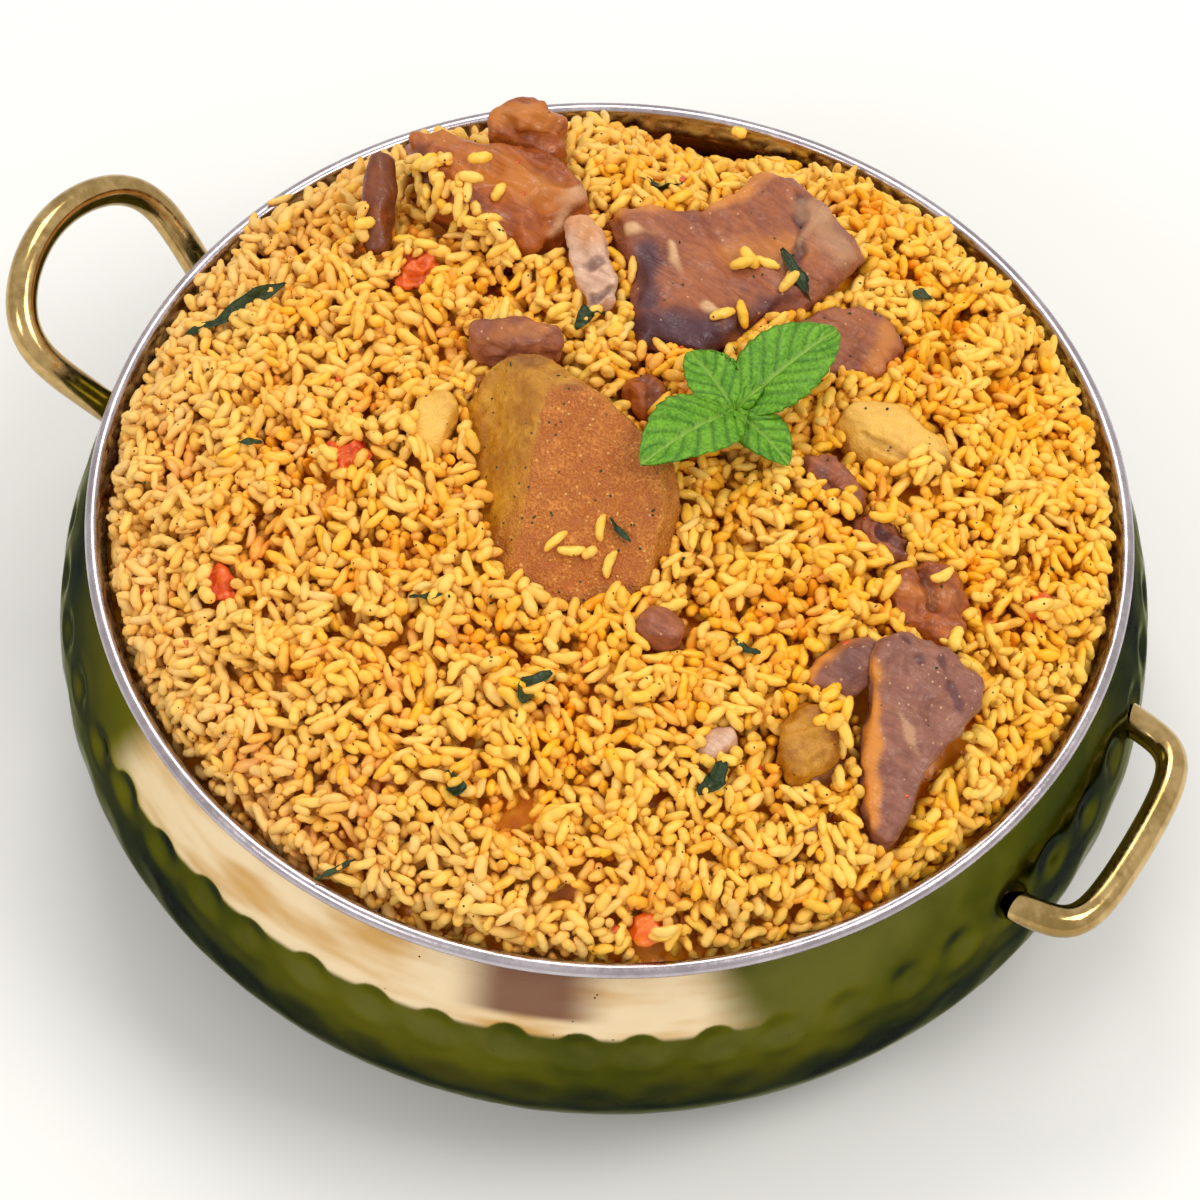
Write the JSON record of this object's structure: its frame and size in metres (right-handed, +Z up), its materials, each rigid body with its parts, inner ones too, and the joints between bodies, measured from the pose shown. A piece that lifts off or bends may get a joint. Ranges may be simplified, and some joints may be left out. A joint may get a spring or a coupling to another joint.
{
  "type": "bowl of biryani",
  "caption": "Biryani served in a round hammered brass bowl with a steel liner and rod handles: yellow rice heaped up with meat, potato, tomato and a mint sprig.",
  "frame": {"origin": "centre of the bowl's flat base", "axes": "+Z up out of the bowl; the two handles lie along X, the higher one towards -X"},
  "size_m": [0.2498, 0.213, 0.1085],
  "materials": {
    "brass": "polished, hammered",
    "steel": "polished",
    "rice": "cooked rice, soft sheen",
    "meat": "cooked meat, moist",
    "fried_meat": "browned meat, glossy",
    "gristle": "gristle and fat",
    "potato": "boiled and fried potato",
    "tomato": "moist tomato and carrot",
    "mint": "fresh leaf"
  },
  "bodies": {
    "root": {"brass_shell": "brass", "steel_liner": "steel", "handle_left": "brass", "handle_right": "brass", "rice": "rice", "meat_rear_left": "fried_meat", "meat_rear_knob": "fried_meat", "meat_rear_strip": "fried_meat", "meat_middle_bits": "fried_meat", "meat_skin": "fried_meat", "meat_rear_right": "meat", "meat_rear_under": "meat", "meat_lower_right": "meat", "meat_strip_upper": "meat", "meat_strip_lower": "meat", "meat_dome": "meat", "meat_lower_lobe": "meat", "meat_under_potato": "meat", "bone_end": "gristle", "meat_sliver": "gristle", "potato_large": "potato", "potato_wedge": "potato", "potato_side": "potato", "fat_piece": "potato", "tomato_left": "tomato", "tomato_low_left": "tomato", "tomato_right": "tomato", "tomato_rear": "tomato", "carrot_front": "tomato", "mint_sprig": "mint"}
  },
  "joints": []
}
